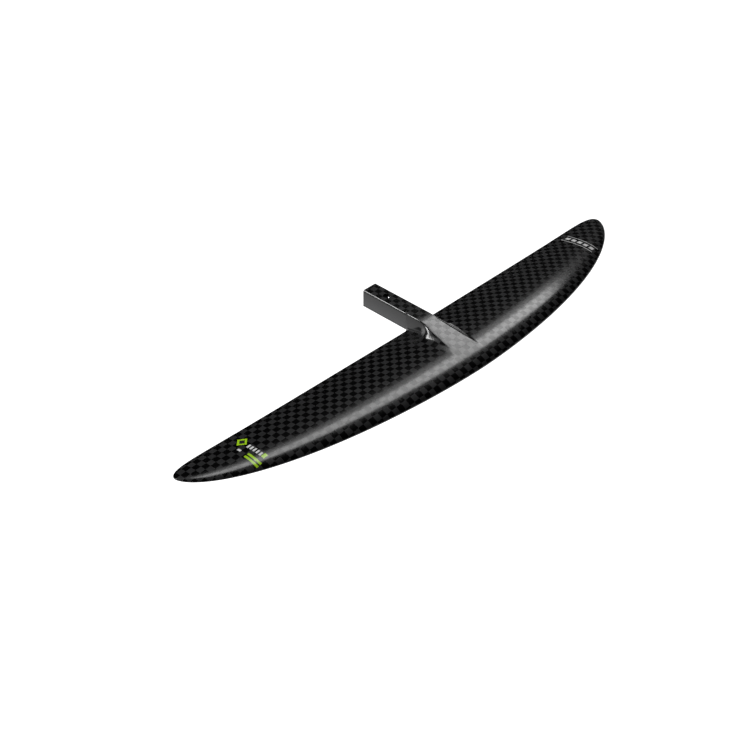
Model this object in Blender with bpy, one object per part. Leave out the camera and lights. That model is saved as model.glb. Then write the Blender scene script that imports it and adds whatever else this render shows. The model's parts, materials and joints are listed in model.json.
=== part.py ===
"""The front wing of a hydrofoil, with the tang that plugs into a fuselage, built up as it is moulded.

Metres, +Z up, the leading edge faces -Y. The origin is the centre of the tang's rear end face, and +Y points
out of that face. Port is +X and starboard is -X, as on a boat that travels towards -Y.
"""

import math

import bmesh
import bpy

MM = 0.001

# Driving dimensions
SPAN = 860 * MM
ROOT_CHORD = 131 * MM
TANG_WIDTH = 26 * MM
TANG_HEIGHT = 27 * MM
TANG_REACH = 86.5 * MM  # from the root's trailing edge to the tang's end
TIP_SETBACK = 5.5 * MM  # how far a tip's point lies behind the root's trailing edge
TRAILING_SWEEP = 21.8 * MM  # how far the trailing edge would sweep back by the tips
DROOP = 26.5 * MM  # the tips' droop, eased by DROOP_EASE towards the ends
DROOP_EASE = 10.3 * MM

# The section: camber, its place along the chord, and thickness, as shares of the chord
CAMBER = 0.04
CAMBER_AT = 0.4
THICKNESS = 0.12

SKIN = 1.5 * MM  # laminate
COVER = 2.8 * MM  # laminate over the tang block
EDGE = 0.5 * MM  # half the thickness of a finished edge
GAP = 0.3 * MM  # bond line between neighbours
STEP = 0.02 * MM  # half the run of a wall that stands nearly upright
CAP = 1.2 * MM  # spar cap
LEAST_CORE = 0.45 * MM  # half the height of a core where it ends

# The ridge that fairs the tang into the wing
WALL = TANG_WIDTH / 2
CHANNEL = WALL - SKIN  # half the width of the channel that holds the tang block
RIDGE_FRONT = 127 * MM  # ahead of the root's trailing edge
NOSE_LENGTH = 40 * MM
RAMP_FROM = 16 * MM  # ahead of the trailing edge, where the crest starts to fall
RAMP_EASE = 16 * MM
RAMP_SLOPE = 0.182
SIDE_FROM = 24 * MM  # ahead of the trailing edge, where the sides start to open out
SIDE_OVER = 20 * MM
SHOULDER_TIGHT, SHOULDER_FULL = 2.5 * MM, 12 * MM  # radius along the crest's edges
FOOT_TIGHT, FOOT_FULL = 6 * MM, 22 * MM  # radius where the sides meet the wing
FLARE = 3 * MM  # how far the foot runs aft of the trailing edge along the tang
SIDE_FLARE = 6 * MM  # how far the sides move apart towards the nose

# Spar, as shares of the chord, and where the long pieces end along the span
SPAR_FRONT, SPAR_BACK = 0.28, 0.42
CORE_END = 371 * MM
TIP_BLOCK_END = 402 * MM
STRIP_END = 325 * MM
FILLER_SHARE = 0.07  # the chordwise width of a trailing-edge filler
NOSE_SHARE = 0.035  # the chordwise width of a leading-edge filler
ROW_GAP = 0.004  # bond line between neighbours along the chord, as a share of it

# The threaded insert that takes the clamping bolt
BOLT_Y = -33.5 * MM
HOLE_R = 5.5 * MM
INSERT_R = 6 * MM
THREAD_R = 3.4 * MM
INSERT_LENGTH = 16 * MM
INSERT_DROP = 4 * MM  # from the tang's top face to the insert's

ROOT_TE = -TANG_REACH
ROOT_LE = ROOT_TE - ROOT_CHORD
TIP_Y = ROOT_TE + TIP_SETBACK
TOP_Z = TANG_HEIGHT / 2
BOTTOM_Z = -TANG_HEIGHT / 2
DATUM_Z = BOTTOM_Z + EDGE  # height of the root's chord line

# Places along half the span, closest at the ridge and at the tip, and shares of the chord
INNER_X, TIP_X = 33 * MM, 429.9 * MM
CHANNEL_STEP = 0.0002  # half the run of the channel's front wall, as a share of the chord
ROOT_COLUMNS = [x * MM for x in (0, 4, 8, 10)]
RIDGE_COLUMNS = [WALL + i * (i + 3) / 4 * MM for i in range(1, 7)]
WING_COLUMNS = [INNER_X + (TIP_X - INNER_X) * math.sin(math.pi / 2 * i / 18) for i in range(19)]
CURVE_ROWS = [(i / 17) ** 1.6 for i in range(18)]
WING_ROWS = sorted(CURVE_ROWS + [SPAR_BACK - CHANNEL_STEP, SPAR_BACK + CHANNEL_STEP])
TANG_ROWS = [1.3, 1.65, 2]  # from 1 at the end of the flare to 2 at the tang's end


# ---------------------------------------------------------------- outer shape

def eased(share):
    """0 to 1 with no kink at either end."""
    share = min(max(share, 0), 1)
    return share * share * (3 - 2 * share)


def leading_edge(x):
    t = min(abs(x) / (SPAN / 2), 1)
    return TIP_Y - (TIP_Y - ROOT_LE) * (1 - t ** 1.8) ** 0.62


def trailing_edge(x):
    t = min(abs(x) / (SPAN / 2), 1)
    straight = ROOT_TE + TRAILING_SWEEP * t ** 1.62
    return TIP_Y + (straight - TIP_Y) * (1 - t ** 20) ** 0.45


def flared_edge(x):
    """The trailing edge with the flare that runs aft along the tang."""
    inward = min(max((WALL + FOOT_TIGHT - abs(x)) / FOOT_TIGHT, 0), 1)
    return trailing_edge(x) + FLARE * (1 - math.sqrt(1 - inward * inward))


def place(x, row):
    """The Y of a grid row: 0 to 1 over the wing, and on to 2 along the tang."""
    if row <= 1:
        return leading_edge(x) + row * (flared_edge(x) - leading_edge(x))
    return flared_edge(0) * (2 - row)


def section(x, y):
    """Camber line and half thickness of the wing at a point of its plan, as heights."""
    t = abs(x) / (SPAN / 2)
    front = leading_edge(x)
    chord = trailing_edge(x) - front
    share = min(max((y - front) / chord, 0), 1)
    if share < CAMBER_AT:
        line = CAMBER / CAMBER_AT ** 2 * (2 * CAMBER_AT * share - share ** 2)
    else:
        line = CAMBER / (1 - CAMBER_AT) ** 2 * (1 - 2 * CAMBER_AT + 2 * CAMBER_AT * share - share ** 2)
    nose = 0.2969 * math.sqrt(share)
    body = 0.2843 * share ** 3 - 0.3516 * share ** 2 - 0.126 * share
    tail = 0.1036 * share ** 4
    half = 5 * THICKNESS * (nose + body - tail)
    base = DATUM_Z - DROOP * t ** 2 + DROOP_EASE * t ** 4
    return base + line * chord, math.hypot(half * chord, EDGE)


def wing_top(x, y):
    line, half = section(x, y)
    return line + half


def wing_bottom(x, y):
    line, half = section(x, y)
    return line - half


def ridge_height(y):
    """How far the ridge's crest stands above the wing."""
    ahead = max(ROOT_TE - RAMP_FROM - y, 0)
    fall = ahead ** 2 / (2 * RAMP_EASE) if ahead < RAMP_EASE else ahead - RAMP_EASE / 2
    nose = eased((y - ROOT_TE + RIDGE_FRONT) / NOSE_LENGTH)
    return (TOP_Z - RAMP_SLOPE * fall - wing_top(0, y)) * nose


def ridge_rise(x, y):
    """The ridge's height at a point: a shoulder arc and a foot arc that meet at the wall."""
    height = ridge_height(y)
    opened = eased((ROOT_TE - SIDE_FROM - y) / SIDE_OVER)
    shoulder = SHOULDER_TIGHT + (SHOULDER_FULL - SHOULDER_TIGHT) * opened
    foot = FOOT_TIGHT + (FOOT_FULL - FOOT_TIGHT) * opened
    turn = math.acos(max(1 - height / (shoulder + foot), 0))
    wall = WALL + SIDE_FLARE * opened
    start = wall - shoulder * math.sin(turn)
    end = wall + foot * math.sin(turn)
    x = abs(x)
    if x <= start:
        return height
    if x < wall:
        return height - shoulder + math.sqrt(shoulder ** 2 - (x - start) ** 2)
    if x < end:
        return foot - math.sqrt(foot ** 2 - (end - x) ** 2)
    return 0


def outer_top(x, y):
    return wing_top(x, y) + ridge_rise(x, y)


def on_tang(x, y):
    return abs(x) < WALL + STEP / 2 and y > flared_edge(0) + GAP / 2


# ---------------------------------------------------------------- the faces that pieces share

def upper_inside(x, y):
    """Underside of the upper skin, with the channel for the tang block."""
    if on_tang(x, y):
        return TOP_Z - COVER
    if abs(x) <= CHANNEL and y > spar_row(SPAR_BACK):
        return outer_top(0, y) - COVER
    line, half = section(x, y)
    return max(line + half - SKIN, line + GAP / 2)


def lower_inside(x, y):
    """Top side of the lower skin."""
    if on_tang(x, y):
        return BOTTOM_Z + SKIN
    line, half = section(x, y)
    return min(line - half + SKIN, line - GAP / 2)


def spar_row(share):
    """The Y of a share of the root's chord, as the grid places it."""
    return place(0, share)


def cavity(x):
    """Shares of the chord between which the hollow of the wing is high enough for a core."""
    need = SKIN + GAP + LEAST_CORE

    def edge_between(thin, thick):
        for _ in range(30):
            middle = (thin + thick) / 2
            if section(x, place(x, middle))[1] < need:
                thin = middle
            else:
                thick = middle
        return thick

    return edge_between(0, 0.3), edge_between(1, 0.3)


# ---------------------------------------------------------------- modelling

def clear_scene():
    for obj in list(bpy.data.objects):
        bpy.data.objects.remove(obj, do_unlink=True)


def material(name, colour, roughness, metallic=0.0):
    made = bpy.data.materials.new(name)
    made.use_nodes = True
    shader = made.node_tree.nodes["Principled BSDF"]
    shader.inputs["Base Color"].default_value = (*colour, 1)
    shader.inputs["Roughness"].default_value = roughness
    shader.inputs["Metallic"].default_value = metallic
    return made


def finish(bm, name, finish_material):
    """Turns a bmesh into a smooth-shaded object in the scene."""
    bmesh.ops.recalc_face_normals(bm, faces=bm.faces[:])
    mesh = bpy.data.meshes.new(name)
    bm.to_mesh(mesh)
    bm.free()
    mesh.shade_smooth()
    mesh.set_sharp_from_angle(angle=math.radians(35))
    mesh.materials.append(finish_material)
    obj = bpy.data.objects.new(name, mesh)
    bpy.context.collection.objects.link(obj)
    return obj


def plate(name, columns, rows, top, bottom, finish_material, keep=None, where=place):
    """A closed plate over a grid: columns are X places, where(x, row) gives Y, and keep picks the cells."""
    bm = bmesh.new()
    across, along = len(columns) - 1, len(rows) - 1
    bmesh.ops.create_grid(bm, x_segments=across, y_segments=along, size=0.5)

    def station(vert):
        return columns[round((vert.co.x + 0.5) * across)], rows[round((vert.co.y + 0.5) * along)]

    if keep:
        outside = [f for f in bm.faces if not all(keep(*station(v)) for v in f.verts)]
        bmesh.ops.delete(bm, geom=outside, context="FACES")
    under = bm.verts[:]
    raised = bmesh.ops.extrude_face_region(bm, geom=bm.faces[:])
    over = [v for v in raised["geom"] if isinstance(v, bmesh.types.BMVert)]
    for verts, height in ((over, top), (under, bottom)):
        for vert in verts:
            x, row = station(vert)
            y = where(x, row)
            vert.co = (x, y, height(x, y))
    return finish(bm, name, finish_material)


def mirrored(half):
    """Columns over the whole span, from those of one half that start at 0."""
    return [-x for x in reversed(half[1:])] + half


def stations(inner, outer):
    """The skins' columns from inner to outer, so that pieces follow the skins without touching them."""
    return [inner] + [x for x in WING_COLUMNS if inner < x < outer] + [outer]


def between(low, high, count):
    return [low + (high - low) * i / (count - 1) for i in range(count)]


def turned(name, profile, at, finish_material, segments=32):
    """A ring or a disc: a closed outline of (radius, height) points turned about a vertical axis."""
    bm = bmesh.new()
    verts = [bm.verts.new((at[0] + r, at[1], at[2] + z)) for r, z in profile]
    edges = [bm.edges.new((a, b)) for a, b in zip(verts, verts[1:] + verts[:1])]
    bmesh.ops.spin(
        bm,
        geom=verts + edges,
        cent=at,
        axis=(0, 0, 1),
        angle=math.tau,
        steps=segments,
        use_merge=True,
        use_duplicate=False,
    )
    bmesh.ops.remove_doubles(bm, verts=bm.verts[:], dist=1e-6)
    return finish(bm, name, finish_material)


def bored(obj, radius, low, high):
    """Cuts a round vertical hole on the bolt's axis."""
    bm = bmesh.new()
    bmesh.ops.create_cone(bm, cap_ends=True, segments=32, radius1=radius, radius2=radius, depth=high - low)
    bmesh.ops.translate(bm, verts=bm.verts[:], vec=(0, BOLT_Y, (low + high) / 2))
    cutter = finish(bm, obj.name + "_drill", obj.data.materials[0])
    cutter.hide_render = True
    cutter.display_type = "WIRE"
    cut = obj.modifiers.new("bolt hole", "BOOLEAN")
    cut.operation = "DIFFERENCE"
    cut.solver = "EXACT"
    cut.object = cutter


# ---------------------------------------------------------------- the pieces

def skins(carbon):
    """The two moulded carbon skins, which meet along the leading and trailing edges."""
    channel_sides = [CHANNEL - STEP, CHANNEL + STEP]
    wall_sides = [WALL - STEP, WALL + STEP]
    upper_half = ROOT_COLUMNS + channel_sides + [12.4 * MM] + wall_sides + RIDGE_COLUMNS + WING_COLUMNS
    lower_half = [0, 7 * MM] + wall_sides + RIDGE_COLUMNS[1::2] + WING_COLUMNS
    rows = WING_ROWS + [1 + 0.6 * GAP / abs(flared_edge(0))] + TANG_ROWS

    def keep(x, row):
        return row <= 1 or abs(x) < WALL

    def lower_outside(x, y):
        return BOTTOM_Z if on_tang(x, y) else wing_bottom(x, y)

    upper = plate("upper_skin", mirrored(upper_half), rows, upper_outside, upper_inside, carbon, keep)
    bored(upper, HOLE_R, TOP_Z - 3 * SKIN, TOP_Z + SKIN)
    plate("lower_skin", mirrored(lower_half), rows, lower_inside, lower_outside, carbon, keep)


def upper_outside(x, y):
    """Outside of the upper skin: the wing with its ridge, then the tang's top with rounded edges."""
    if not on_tang(x, y):
        return outer_top(x, y)
    into = max(abs(x) - (WALL - SHOULDER_TIGHT), 0)
    return TOP_Z - SHOULDER_TIGHT + math.sqrt(SHOULDER_TIGHT ** 2 - into ** 2)


def tang_block(laminate):
    """The solid block that runs from the spar to the tang's end, bored for the insert."""
    narrow = CHANNEL - GAP
    shoulder_row = 1 + GAP / abs(flared_edge(0))
    columns = [-WALL, -narrow, 0, narrow, WALL]
    wing_rows = [row for row in CURVE_ROWS if SPAR_BACK + 2 * ROW_GAP < row < 1]
    rows = [SPAR_BACK + ROW_GAP] + wing_rows + [shoulder_row, 1.5, 2]

    def keep(x, row):
        return row >= shoulder_row or abs(x) < WALL

    def top(x, y):
        return upper_inside(min(abs(x), narrow), y) - GAP

    def bottom(x, y):
        return lower_inside(min(abs(x), narrow), y) + GAP

    block = plate("tang_block", columns, rows, top, bottom, laminate, keep)
    seat = TOP_Z - INSERT_DROP - INSERT_LENGTH - GAP
    bored(block, INSERT_R + GAP, seat, TOP_Z + SKIN)


def insert(steel):
    """The threaded insert, with a chamfered mouth and two knurl grooves."""
    low = TOP_Z - INSERT_DROP - INSERT_LENGTH
    chamfer = 0.6 * MM
    groove = 0.5 * MM
    third = INSERT_LENGTH / 3
    outside = [(INSERT_R - chamfer, 0), (INSERT_R, chamfer)]
    for middle in (third, 2 * third):
        outside += [
            (INSERT_R, middle - groove),
            (INSERT_R - groove, middle - groove / 2),
            (INSERT_R - groove, middle + groove / 2),
            (INSERT_R, middle + groove),
        ]
    outside += [(INSERT_R, INSERT_LENGTH - chamfer), (INSERT_R - chamfer, INSERT_LENGTH)]
    inside = [(THREAD_R + chamfer, INSERT_LENGTH), (THREAD_R, INSERT_LENGTH - chamfer)]
    inside += [(THREAD_R, chamfer), (THREAD_R + chamfer, 0)]
    turned("threaded_insert", outside + inside, (0, BOLT_Y, low), steel)


def spar(carbon_strip, core):
    """A cap under each skin over the whole span, with a core on each side of the root between them."""
    columns = mirrored(stations(0, CORE_END))
    rows = [SPAR_FRONT, 0.35, SPAR_BACK - ROW_GAP]

    def under_skin(x, y):
        return wing_top(x, y) - SKIN - GAP

    def over_skin(x, y):
        return wing_bottom(x, y) + SKIN + GAP

    plate("upper_spar_cap", columns, rows, under_skin, lambda x, y: under_skin(x, y) - CAP, carbon_strip)
    plate("lower_spar_cap", columns, rows, lambda x, y: over_skin(x, y) + CAP, over_skin, carbon_strip)
    for side, sign in (("port", 1), ("starboard", -1)):
        half = [sign * x for x in stations(1 * MM, CORE_END)]
        plate(
            side + "_spar_core",
            sorted(half),
            rows,
            lambda x, y: under_skin(x, y) - CAP - GAP,
            lambda x, y: over_skin(x, y) + CAP + GAP,
            core,
        )


def fill(name, inner, outer, sign, front, back, steps, finish_material):
    """A piece between the skins: inner to outer along the span, front(x) to back(x) along the chord."""
    columns = sorted(sign * x for x in stations(inner, outer))
    rows = between(0, 1, steps + 1)

    def where(x, row):
        return place(x, front(x) + row * (back(x) - front(x)))

    def top(x, y):
        line, half = section(x, y)
        return line + half - SKIN - GAP

    def bottom(x, y):
        line, half = section(x, y)
        return line - half + SKIN + GAP

    plate(name, columns, rows, top, bottom, finish_material, where=where)


def cores(foam, resin, laminate):
    """Foam ahead of and behind the spar, the strips that close the edges, and a solid block at each tip."""

    def nose_back(x):
        return cavity(x)[0] + NOSE_SHARE

    def tail_front(x):
        return cavity(x)[1] - FILLER_SHARE

    for side, sign in (("port", 1), ("starboard", -1)):
        clear = CHANNEL + GAP
        fill(
            side + "_front_core", 1 * MM, CORE_END, sign,
            lambda x: nose_back(x) + ROW_GAP, lambda x: SPAR_FRONT - ROW_GAP, 6, foam,
        )
        fill(
            side + "_rear_core", clear, CORE_END, sign,
            lambda x: SPAR_BACK + ROW_GAP, lambda x: tail_front(x) - ROW_GAP, 6, foam,
        )
        fill(
            side + "_leading_edge_strip", 1 * MM, STRIP_END, sign,
            lambda x: cavity(x)[0], nose_back, 2, resin,
        )
        fill(
            side + "_trailing_edge_strip", clear, STRIP_END, sign,
            tail_front, lambda x: cavity(x)[1], 2, resin,
        )
        fill(
            side + "_tip_block", CORE_END + GAP, TIP_BLOCK_END, sign,
            lambda x: cavity(x)[0], lambda x: cavity(x)[1], 8, laminate,
        )


def main():
    clear_scene()
    woven = material("woven_carbon", (0.015, 0.015, 0.017), 0.25)
    solid = material("solid_carbon_laminate", (0.02, 0.02, 0.022), 0.35)
    strip = material("spar_carbon", (0.03, 0.03, 0.03), 0.5)
    foam = material("core_foam", (0.75, 0.68, 0.45), 0.9)
    resin = material("filled_resin", (0.2, 0.2, 0.2), 0.6)
    steel = material("stainless_steel", (0.6, 0.6, 0.62), 0.3, 1.0)
    skins(woven)
    tang_block(solid)
    insert(steel)
    spar(strip, foam)
    cores(foam, resin, solid)


main()
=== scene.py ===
import json
import math

import bmesh
import bpy
from mathutils import Matrix, Vector


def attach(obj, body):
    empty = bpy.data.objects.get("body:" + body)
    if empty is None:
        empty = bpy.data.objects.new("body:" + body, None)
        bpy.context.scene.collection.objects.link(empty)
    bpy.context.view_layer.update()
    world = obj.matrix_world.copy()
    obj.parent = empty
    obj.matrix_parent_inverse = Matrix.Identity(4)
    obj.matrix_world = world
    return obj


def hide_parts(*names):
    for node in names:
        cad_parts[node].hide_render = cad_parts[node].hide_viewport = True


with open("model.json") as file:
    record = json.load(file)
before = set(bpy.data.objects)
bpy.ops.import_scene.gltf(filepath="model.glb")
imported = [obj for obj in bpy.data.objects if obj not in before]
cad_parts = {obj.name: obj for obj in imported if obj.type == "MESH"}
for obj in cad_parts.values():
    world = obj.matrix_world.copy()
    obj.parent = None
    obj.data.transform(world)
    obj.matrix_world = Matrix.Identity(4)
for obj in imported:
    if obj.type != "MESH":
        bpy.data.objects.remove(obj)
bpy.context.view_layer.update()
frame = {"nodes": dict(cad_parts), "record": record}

MM = 0.001

# ---------------------------------------------------------------- the wing's shape, as in the frame

SPAN = 860 * MM
ROOT_CHORD = 131 * MM
TANG_WIDTH = 26 * MM
TANG_HEIGHT = 27 * MM
TANG_REACH = 86.5 * MM
TIP_SETBACK = 5.5 * MM  # tip behind the rear edge at the root
TRAILING_SWEEP = 21.8 * MM  # how far the rear edge runs aft to the tip
DROOP = 26.5 * MM  # how far the tips hang down
DROOP_EASE = 10.3 * MM  # how much of that the last stretch gives back
CAMBER = 0.04  # share of the chord
CAMBER_AT = 0.4
THICKNESS = 0.12  # share of the chord
SKIN = 1.5 * MM  # laminate
COVER = 2.8 * MM  # laminate over the tang block
EDGE = 0.5 * MM  # half thickness of the thin edges
GAP = 0.3 * MM  # bond line between neighbours
STEP = 0.02 * MM  # half the run of a wall that stands nearly upright
WALL = TANG_WIDTH / 2
CHANNEL = WALL - SKIN  # half the width of the channel that holds the tang block
CHANNEL_FROM = 0.42  # share of the root chord where it starts
RIDGE_FRONT = 127 * MM  # front of the ridge, ahead of the rear edge
NOSE_LENGTH = 40 * MM  # stretch over which the ridge rises from nothing
RAMP_FROM = 16 * MM  # where the crest starts to fall, ahead of the rear edge
RAMP_EASE = 16 * MM  # stretch over which it bends down
RAMP_SLOPE = 0.182
SIDE_FROM = 24 * MM  # where the sides start to lean out
SIDE_OVER = 20 * MM  # stretch over which they do
SHOULDER_TIGHT, SHOULDER_FULL = 2.5 * MM, 12 * MM  # radius along the crest's edges
FOOT_TIGHT, FOOT_FULL = 6 * MM, 22 * MM  # radius along the sides' feet
FLARE = 3 * MM  # fillet of the rear edge beside the tang
SIDE_FLARE = 6 * MM  # how far the sides move apart towards the nose
BOLT_Y = -33.5 * MM
HOLE_R = 5.5 * MM
ROOT_TE = -TANG_REACH
ROOT_LE = ROOT_TE - ROOT_CHORD
TIP_Y = ROOT_TE + TIP_SETBACK
TOP_Z = TANG_HEIGHT / 2
BOTTOM_Z = -TANG_HEIGHT / 2
DATUM_Z = BOTTOM_Z + EDGE
TIP_X = 429.9 * MM


def eased(share):
    share = min(max(share, 0), 1)
    return share * share * (3 - 2 * share)


def leading_edge(x):
    t = min(abs(x) / (SPAN / 2), 1)
    return TIP_Y - (TIP_Y - ROOT_LE) * (1 - t ** 1.8) ** 0.62


def trailing_edge(x):
    t = min(abs(x) / (SPAN / 2), 1)
    straight = ROOT_TE + TRAILING_SWEEP * t ** 1.62
    return TIP_Y + (straight - TIP_Y) * (1 - t ** 20) ** 0.45


def flared_edge(x):
    inward = min(max((WALL + FOOT_TIGHT - abs(x)) / FOOT_TIGHT, 0), 1)
    return trailing_edge(x) + FLARE * (1 - math.sqrt(1 - inward * inward))


def place(x, row):
    if row <= 1:
        return leading_edge(x) + row * (flared_edge(x) - leading_edge(x))
    return flared_edge(0) * (2 - row)


def section(x, y):
    """Camber line and half thickness of the wing at a point of its plan, as heights."""
    t = abs(x) / (SPAN / 2)
    front = leading_edge(x)
    chord = trailing_edge(x) - front
    share = min(max((y - front) / chord, 0), 1)
    if share < CAMBER_AT:
        line = CAMBER / CAMBER_AT ** 2 * (2 * CAMBER_AT * share - share ** 2)
    else:
        line = CAMBER / (1 - CAMBER_AT) ** 2 * (1 - 2 * CAMBER_AT + 2 * CAMBER_AT * share - share ** 2)
    nose = 0.2969 * math.sqrt(share)
    body = 0.2843 * share ** 3 - 0.3516 * share ** 2 - 0.126 * share
    tail = 0.1036 * share ** 4
    half = 5 * THICKNESS * (nose + body - tail)
    base = DATUM_Z - DROOP * t ** 2 + DROOP_EASE * t ** 4
    return base + line * chord, math.hypot(half * chord, EDGE)


def ridge_rise(x, y):
    """Height of the ridge that fairs the tang in: a shoulder arc and a foot arc that meet at the wall."""
    line, half = section(0, y)
    ahead = max(ROOT_TE - RAMP_FROM - y, 0)
    fall = ahead ** 2 / (2 * RAMP_EASE) if ahead < RAMP_EASE else ahead - RAMP_EASE / 2
    nose = eased((y - ROOT_TE + RIDGE_FRONT) / NOSE_LENGTH)
    height = (TOP_Z - RAMP_SLOPE * fall - line - half) * nose
    opened = eased((ROOT_TE - SIDE_FROM - y) / SIDE_OVER)
    shoulder = SHOULDER_TIGHT + (SHOULDER_FULL - SHOULDER_TIGHT) * opened
    foot = FOOT_TIGHT + (FOOT_FULL - FOOT_TIGHT) * opened
    turn = math.acos(max(1 - height / (shoulder + foot), 0))
    wall = WALL + SIDE_FLARE * opened
    start = wall - shoulder * math.sin(turn)
    end = wall + foot * math.sin(turn)
    x = abs(x)
    if x <= start:
        return height
    if x < wall:
        return height - shoulder + math.sqrt(shoulder ** 2 - (x - start) ** 2)
    if x < end:
        return foot - math.sqrt(max(foot ** 2 - (end - x) ** 2, 0))
    return 0


def outer_top(x, y):
    line, half = section(x, y)
    return line + half + ridge_rise(x, y)


def on_tang(x, y):
    return abs(x) < WALL + STEP / 2 and y > flared_edge(0) + GAP / 2


def upper_outside(x, y):
    if not on_tang(x, y):
        return outer_top(x, y)
    into = max(abs(x) - (WALL - SHOULDER_TIGHT), 0)
    return TOP_Z - SHOULDER_TIGHT + math.sqrt(SHOULDER_TIGHT ** 2 - into ** 2)


def upper_inside(x, y):
    if on_tang(x, y):
        return TOP_Z - COVER
    if abs(x) <= CHANNEL and y > place(0, CHANNEL_FROM):
        return outer_top(0, y) - COVER
    line, half = section(x, y)
    return max(line + half - SKIN, line + GAP / 2)


def lower_inside(x, y):
    if on_tang(x, y):
        return BOTTOM_Z + SKIN
    line, half = section(x, y)
    return min(line - half + SKIN, line - GAP / 2)


def lower_outside(x, y):
    if on_tang(x, y):
        return BOTTOM_Z
    line, half = section(x, y)
    return line - half


# ---------------------------------------------------------------- materials

class Finish:
    """A Principled material and the short calls that build its node tree."""

    def __init__(self, name):
        self.material = bpy.data.materials.new(name)
        self.material.use_nodes = True
        self.tree = self.material.node_tree
        self.shader = self.tree.nodes["Principled BSDF"]
        self.coords = self.tree.nodes.new("ShaderNodeTexCoord").outputs["Object"]

    def set(self, **values):
        for key, value in values.items():
            self.shader.inputs[key.replace("_", " ")].default_value = value

    def link(self, source, target):
        if isinstance(source, (int, float)):
            target.default_value = source
        else:
            self.tree.links.new(source, target)

    def math(self, operation, *terms):
        node = self.tree.nodes.new("ShaderNodeMath")
        node.operation = operation
        for term, socket in zip(terms, node.inputs):
            self.link(term, socket)
        return node.outputs[0]

    def axes(self):
        node = self.tree.nodes.new("ShaderNodeSeparateXYZ")
        self.link(self.coords, node.inputs[0])
        return node.outputs

    def vector(self, *terms):
        node = self.tree.nodes.new("ShaderNodeCombineXYZ")
        for term, socket in zip(terms, node.inputs):
            self.link(term, socket)
        return node.outputs[0]

    def noise(self, vector, scale, detail=2.0):
        node = self.tree.nodes.new("ShaderNodeTexNoise")
        self.link(vector, node.inputs["Vector"])
        node.inputs["Scale"].default_value = scale
        node.inputs["Detail"].default_value = detail
        return node.outputs["Fac"]

    def scatter(self, vector):
        node = self.tree.nodes.new("ShaderNodeTexWhiteNoise")
        self.link(vector, node.inputs["Vector"])
        return node.outputs["Value"]

    def range(self, value, low, high, to_low, to_high):
        node = self.tree.nodes.new("ShaderNodeMapRange")
        self.link(value, node.inputs["Value"])
        for key, number in zip(("From Min", "From Max", "To Min", "To Max"), (low, high, to_low, to_high)):
            self.link(number, node.inputs[key])
        return node.outputs["Result"]

    def blend(self, factor, first, second):
        """Two colours, or colour outputs, mixed."""
        node = self.tree.nodes.new("ShaderNodeMix")
        node.data_type = "RGBA"
        self.link(factor, node.inputs["Factor"])
        for value, socket in ((first, node.inputs["A"]), (second, node.inputs["B"])):
            if isinstance(value, tuple):
                socket.default_value = (*value, 1)
            else:
                self.link(value, socket)
        return node.outputs["Result"]

    def shade(self, colour, factor):
        """A colour made darker by a factor from 0 to 1."""
        return self.blend(factor, (0, 0, 0), colour)

    def bump(self, height, distance, strength=1.0):
        node = self.tree.nodes.new("ShaderNodeBump")
        node.inputs["Strength"].default_value = strength
        node.inputs["Distance"].default_value = distance
        self.link(height, node.inputs["Height"])
        self.link(node.outputs["Normal"], self.shader.inputs["Normal"])


TOW = 8.7 * MM  # side of a weave square
ALONG_FIBRE, ACROSS_FIBRE = 30.0, 1400.0  # how fine the fibre streaks are each way
DARK_TOW = (0.0008, 0.0008, 0.0009)
LIGHT_TOW = (0.021, 0.021, 0.022)
LIME = (0.42, 0.74, 0.015)
WHITE = (0.82, 0.82, 0.82)
MARK_BLUR = 0.25 * MM


def bar(finish, axes, centre, half):
    """Coverage of an upright bar of print, 0 to 1."""
    covers = []
    for axis in (0, 1):
        away = finish.math("ABSOLUTE", finish.math("SUBTRACT", axes[axis], centre[axis]))
        covers.append(finish.range(away, half[axis] - MARK_BLUR, half[axis] + MARK_BLUR, 1.0, 0.0))
    return finish.math("MULTIPLY", *covers)


def bars(finish, axes, first, step, half, count):
    """Coverage of each bar of a row, from the first one's centre on."""
    return [bar(finish, axes, (first[0] + i * step[0], first[1] + i * step[1]), half) for i in range(count)]


def diamond(finish, axes, centre, inner, outer):
    """Coverage of a square ring of print that stands on its corner."""
    away = [finish.math("ABSOLUTE", finish.math("SUBTRACT", axes[axis], centre[axis])) for axis in (0, 1)]
    reach = finish.math("ADD", *away)
    outside = finish.range(reach, outer - MARK_BLUR, outer + MARK_BLUR, 1.0, 0.0)
    inside = finish.range(reach, inner - MARK_BLUR, inner + MARK_BLUR, 0.0, 1.0)
    return finish.math("MULTIPLY", outside, inside)


def combined(finish, covers):
    total = covers[0]
    for cover in covers[1:]:
        total = finish.math("MAXIMUM", total, cover)
    return total


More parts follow.
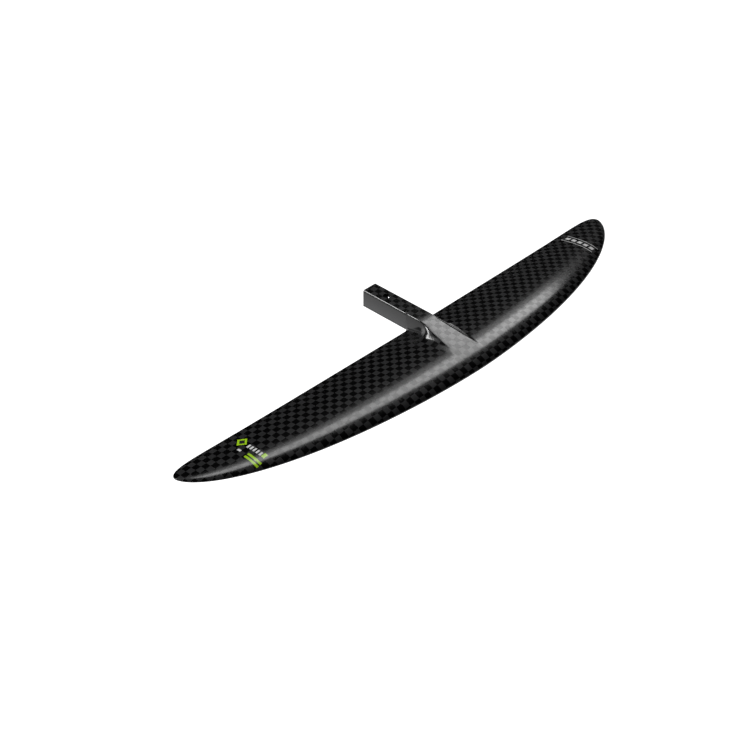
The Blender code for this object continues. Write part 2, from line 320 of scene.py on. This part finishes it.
def woven_carbon(name, printed):
    """Clear-coated plain weave, with the plain marks printed near the tips of the upper side."""
    finish = Finish(name)
    axes = finish.axes()
    across = [finish.math("DIVIDE", axes[axis], TOW) for axis in (0, 1)]
    cells = [finish.math("FLOOR", finish.math("ADD", value, 0.5)) for value in across]
    parity = finish.math("FLOORED_MODULO", finish.math("ADD", *cells), 2.0)
    cell_tone = finish.scatter(finish.vector(*cells, 0.0))
    along = [finish.math("MULTIPLY", axes[axis], ALONG_FIBRE) for axis in (0, 1)]
    over = [finish.math("MULTIPLY", axes[axis], ACROSS_FIBRE) for axis in (0, 1)]
    runs_in_x = finish.noise(finish.vector(along[0], over[1], 0.0), 1.0)
    runs_in_y = finish.noise(finish.vector(over[0], along[1], 0.0), 1.0)
    in_x = finish.math("MULTIPLY", finish.math("SUBTRACT", 1.0, parity), runs_in_x)
    fibres = finish.math("ADD", finish.math("MULTIPLY", parity, runs_in_y), in_x)
    cell_shade = finish.range(cell_tone, 0.0, 1.0, 0.7, 1.0)
    tone = finish.math("MULTIPLY", cell_shade, finish.range(fibres, 0.25, 0.75, 0.82, 1.0))
    colour = finish.shade(finish.blend(parity, DARK_TOW, LIGHT_TOW), tone)
    domes = []
    for value, cell in zip(across, cells):
        off = finish.math("SUBTRACT", value, cell)
        domes.append(finish.math("SUBTRACT", 0.25, finish.math("MULTIPLY", off, off)))
    pillow = finish.math("MULTIPLY", *domes)
    relief = finish.math("ADD", finish.math("MULTIPLY", pillow, 8.0), finish.math("MULTIPLY", fibres, 0.25))
    finish.bump(relief, 0.04 * MM, 0.5)
    rough_of_fibres = finish.range(fibres, 0.2, 0.8, 0.17, 0.24)
    rough = finish.math("ADD", rough_of_fibres, finish.math("MULTIPLY", parity, 0.3))
    if printed:
        lime = [diamond(finish, axes, (-331 * MM, -96 * MM), 5 * MM, 9 * MM)]
        lime += bars(finish, axes, (-348 * MM, -132 * MM), (5.5 * MM, 0), (1.7 * MM, 12 * MM), 2)
        lime += bars(finish, axes, (-331 * MM, -138 * MM), (0, 0), (3.6 * MM, 2.6 * MM), 1)
        white = bars(finish, axes, (-332 * MM, -110 * MM), (0, -5.6 * MM), (3.2 * MM, 1.6 * MM), 5)
        white += bars(finish, axes, (-344.6 * MM, -106 * MM), (0, 0), (1.6 * MM, 3 * MM), 1)
        white += bars(finish, axes, (343 * MM, -90 * MM), (0, -11 * MM), (3.2 * MM, 3.6 * MM), 5)
        white += bars(finish, axes, (335 * MM, -112 * MM), (16 * MM, 0), (0.5 * MM, 29 * MM), 2)
        lime, white = combined(finish, lime), combined(finish, white)
        colour = finish.blend(white, finish.blend(lime, colour, LIME), WHITE)
    finish.link(colour, finish.shader.inputs["Base Color"])
    finish.link(rough, finish.shader.inputs["Roughness"])
    finish.set(Coat_Weight=1.0, Coat_Roughness=0.15, Coat_IOR=1.45, Specular_IOR_Level=0.2)
    return finish.material


def coated_laminate(name):
    """Solid laminate under a smooth clear coat, its base colour painted darker towards the top and lighter
    towards the bottom as painted shade.
    """
    finish = Finish(name)
    clouds = finish.noise(finish.coords, 60.0, 4.0)
    grain = finish.noise(finish.coords, 900.0)
    # painted shade: the base colour fades to black at the top of the tang and is full at the bottom,
    # standing in for how the sides catch light
    depth = finish.range(finish.axes()[2], TOP_Z, BOTTOM_Z, 0.0, 1.0)
    cloudy = finish.blend(clouds, (0.040, 0.040, 0.042), (0.048, 0.048, 0.050))
    finish.link(finish.shade(cloudy, depth), finish.shader.inputs["Base Color"])
    finish.link(finish.range(grain, 0.2, 0.8, 0.3, 0.42), finish.shader.inputs["Roughness"])
    finish.bump(clouds, 0.02 * MM, 0.3)
    finish.set(Coat_Weight=1.0, Coat_Roughness=0.06, Coat_IOR=1.33, Specular_IOR_Level=0.05)
    return finish.material


def plain_solid(name, dark, light, scale, rough, metallic=0.0):
    finish = Finish(name)
    clouds = finish.noise(finish.coords, scale, 4.0)
    finish.link(finish.blend(clouds, dark, light), finish.shader.inputs["Base Color"])
    roughness = finish.range(clouds, 0.2, 0.8, rough - 0.06, rough + 0.06)
    finish.link(roughness, finish.shader.inputs["Roughness"])
    finish.bump(clouds, 0.05 * MM, 0.4)
    finish.set(Metallic=metallic)
    return finish.material


printed_weave = woven_carbon("printed_woven_carbon", True)
bare_weave = woven_carbon("woven_carbon", False)
laminate = coated_laminate("coated_laminate")
SLOT_FINISH = {
    "woven_carbon": bare_weave,
    "solid_laminate": laminate,
    "spar_carbon": plain_solid("spar_carbon", (0.012, 0.012, 0.012), (0.035, 0.035, 0.035), 120.0, 0.5),
    "core_foam": plain_solid("core_foam", (0.60, 0.52, 0.32), (0.74, 0.66, 0.43), 700.0, 0.9),
    "filled_resin": plain_solid("filled_resin", (0.12, 0.12, 0.12), (0.2, 0.2, 0.2), 300.0, 0.6),
    "stainless_steel": plain_solid("stainless_steel", (0.42, 0.42, 0.44), (0.62, 0.62, 0.63), 400, 0.32, 1),
}


# ---------------------------------------------------------------- the skins

SHARP = math.radians(40)  # edges that turn more than this stay crisp
SIDE_FINISH_FRONT = ROOT_TE - 44 * MM  # the tang's plain sides end here
STEEP = 0.6  # a face with less upward normal than this is a side


def half_columns():
    """Places along half the span, close at the ridge, 4 mm apart on the wing, and closing in at the tip."""
    ridge = [i * MM for i in range(12)] + [CHANNEL - STEP, CHANNEL + STEP, 12 * MM, 12.5 * MM]
    ridge += [12.8 * MM, WALL - STEP, WALL + STEP]
    foot = [(13.4 + i * 0.5) * MM for i in range(40)]
    wing = [(37 + i * 4) * MM for i in range(86)]
    tip = [TIP_X - (TIP_X - 380 * MM) * (1 - i / 28) ** 2 for i in range(29)]
    return ridge + foot + wing[:-1] + tip


def wing_rows():
    """Shares of the chord, closest at the leading edge, then rows along the tang."""
    wing = [(i / 72) ** 1.7 for i in range(72)]
    wing = [row for row in wing if abs(row - CHANNEL_FROM) > 0.002]
    wing = sorted(wing + [CHANNEL_FROM - 0.0002, CHANNEL_FROM + 0.0002, 1])
    return wing + [1 + 0.6 * GAP / abs(flared_edge(0))] + [1 + i / 12 for i in range(1, 13)]


def skin(name, top, bottom, finishes):
    """A closed shell between two surfaces over the wing's and the tang's plan."""
    half = half_columns()
    columns = [-x for x in reversed(half[1:])] + half
    rows = wing_rows()
    across, along = len(columns) - 1, len(rows) - 1
    bm = bmesh.new()
    bmesh.ops.create_grid(bm, x_segments=across, y_segments=along, size=0.5)

    def station(vert):
        return columns[round((vert.co.x + 0.5) * across)], rows[round((vert.co.y + 0.5) * along)]

    def kept(vert):
        x, row = station(vert)
        return row <= 1 or abs(x) < WALL

    outside = [face for face in bm.faces if not all(kept(vert) for vert in face.verts)]
    bmesh.ops.delete(bm, geom=outside, context="FACES")
    under = bm.verts[:]
    raised = bmesh.ops.extrude_face_region(bm, geom=bm.faces[:])
    over = [item for item in raised["geom"] if isinstance(item, bmesh.types.BMVert)]
    for verts, height in ((over, top), (under, bottom)):
        for vert in verts:
            x, row = station(vert)
            y = place(x, row)
            vert.co = (x, y, height(x, y))
    bmesh.ops.recalc_face_normals(bm, faces=bm.faces[:])
    for face in bm.faces:
        centre = face.calc_center_median()
        beside_tang = 12 * MM < abs(centre.x) < WALL + FOOT_TIGHT and centre.y > SIDE_FINISH_FRONT
        if beside_tang and face.normal.z < STEEP:
            face.material_index = 1
    mesh = bpy.data.meshes.new(name)
    bm.to_mesh(mesh)
    bm.free()
    mesh.shade_smooth()
    mesh.set_sharp_from_angle(angle=SHARP)
    for finish in finishes:
        mesh.materials.append(finish)
    obj = bpy.data.objects.new(name, mesh)
    bpy.context.collection.objects.link(obj)
    return obj


def drilled(obj, radius, low, high):
    """The same object with a round upright hole through it at the bolt."""
    bm = bmesh.new()
    bmesh.ops.create_cone(bm, cap_ends=True, segments=64, radius1=radius, radius2=radius, depth=high - low)
    bmesh.ops.translate(bm, verts=bm.verts[:], vec=(0, BOLT_Y, (low + high) / 2))
    mesh = bpy.data.meshes.new("bolt_drill")
    bm.to_mesh(mesh)
    bm.free()
    drill = bpy.data.objects.new("bolt_drill", mesh)
    bpy.context.collection.objects.link(drill)
    cut = obj.modifiers.new("bolt hole", "BOOLEAN")
    cut.operation = "DIFFERENCE"
    cut.solver = "EXACT"
    cut.object = drill
    bpy.context.view_layer.update()
    shape = bpy.data.meshes.new_from_object(obj.evaluated_get(bpy.context.evaluated_depsgraph_get()))
    obj.modifiers.clear()
    obj.data = shape
    shape.set_sharp_from_angle(angle=SHARP)
    bpy.data.objects.remove(drill)


def dress_frame():
    """Gives each piece kept from the frame its finish, and puts fine skins in place of the coarse."""
    slots = {entry["node"]: entry["material_slot"] for entry in frame["record"]["subparts"]}
    for name, obj in frame["nodes"].items():
        obj.data.materials.clear()
        obj.data.materials.append(SLOT_FINISH[slots[name]])
    upper = skin("fine_upper_skin", upper_outside, upper_inside, [printed_weave, laminate])
    drilled(upper, HOLE_R, TOP_Z - 3 * SKIN, TOP_Z + SKIN)
    lower = skin("fine_lower_skin", lower_inside, lower_outside, [bare_weave, laminate])
    for piece, node in ((upper, "upper_skin"), (lower, "lower_skin")):
        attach(piece, "root")
        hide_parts(node)


# ---------------------------------------------------------------- studio

FLOOR_Z = -0.45
WING_CENTRE = Vector((0, -0.15, 0))
ROOM_DIM, BACKDROP = 0.006, 0.95  # strength of the room on the wing, and as seen behind it


def studio_floor():
    bm = bmesh.new()
    bmesh.ops.create_grid(bm, x_segments=1, y_segments=1, size=20)
    bmesh.ops.translate(bm, verts=bm.verts[:], vec=(0, 0, FLOOR_Z))
    mesh = bpy.data.meshes.new("studio_floor")
    bm.to_mesh(mesh)
    bm.free()
    finish = Finish("pale_floor")
    finish.set(Base_Color=(0.85, 0.85, 0.85, 1), Roughness=0.9)
    finish.set(Emission_Color=(1, 1, 1, 1), Emission_Strength=0.85)
    mesh.materials.append(finish.material)
    floor = bpy.data.objects.new("studio_floor", mesh)
    bpy.context.collection.objects.link(floor)


def softbox(name, at, aim, long_axis, size, watts):
    """A rectangular light that faces aim, with its longer side along long_axis."""
    lamp = bpy.data.lights.new(name, "AREA")
    lamp.shape = "RECTANGLE"
    lamp.size, lamp.size_y = size
    lamp.energy = watts
    obj = bpy.data.objects.new(name, lamp)
    back = (Vector(at) - aim).normalized()
    side = Vector(long_axis)
    side = (side - back * side.dot(back)).normalized()
    turn = Matrix((side, back.cross(side), back)).transposed()
    obj.matrix_world = Matrix.Translation(at) @ turn.to_4x4()
    bpy.context.collection.objects.link(obj)


def studio_lights():
    long_axis = (0.945, 0.08, -0.32)
    softbox("key_softbox", (1.06, 0.68, 2.32), WING_CENTRE, long_axis, (3.25, 0.58), 29)
    softbox("tail_softbox", (1.0, 1.08, 2.13), WING_CENTRE, long_axis, (3.2, 0.32), 3.4)
    softbox("back_softbox", (-1.4, 1.44, 1.5), WING_CENTRE, (0.73, 0, 0.68), (1.1, 0.6), 35)
    world = bpy.data.worlds.new("studio")
    world.use_nodes = True
    tree = world.node_tree
    seen = tree.nodes.new("ShaderNodeLightPath")
    backdrop = tree.nodes.new("ShaderNodeMapRange")
    tree.links.new(seen.outputs["Is Camera Ray"], backdrop.inputs["Value"])
    backdrop.inputs["To Min"].default_value = ROOM_DIM
    backdrop.inputs["To Max"].default_value = BACKDROP
    tree.links.new(backdrop.outputs["Result"], tree.nodes["Background"].inputs["Strength"])
    tree.nodes["Background"].inputs["Color"].default_value = (1, 1, 1, 1)
    bpy.context.scene.world = world
    bpy.context.scene.view_settings.view_transform = "Standard"


def camera():
    """Looks from the front starboard quarter, with the wing a little right of the middle and above it."""
    azimuth, elevation = math.radians(-45.80), math.radians(36.88)
    away, aside, below = 2.0492, 0.1034, 0.0348
    level = math.cos(elevation)
    back = Vector((math.sin(azimuth) * level, -math.cos(azimuth) * level, math.sin(elevation)))
    right = Vector((math.cos(azimuth), math.sin(azimuth), 0))
    up = back.cross(right)
    wing_origin = Vector((0, ROOT_TE - 54.5 * MM, BOTTOM_Z))
    lens = bpy.data.cameras.new("camera")
    lens.lens = 72.9
    lens.sensor_width = 36
    obj = bpy.data.objects.new("camera", lens)
    at = wing_origin - aside * right - below * up + away * back
    obj.matrix_world = Matrix.Translation(at) @ Matrix((right, up, back)).transposed().to_4x4()
    bpy.context.collection.objects.link(obj)
    bpy.context.scene.camera = obj


dress_frame()
studio_floor()
studio_lights()
camera()
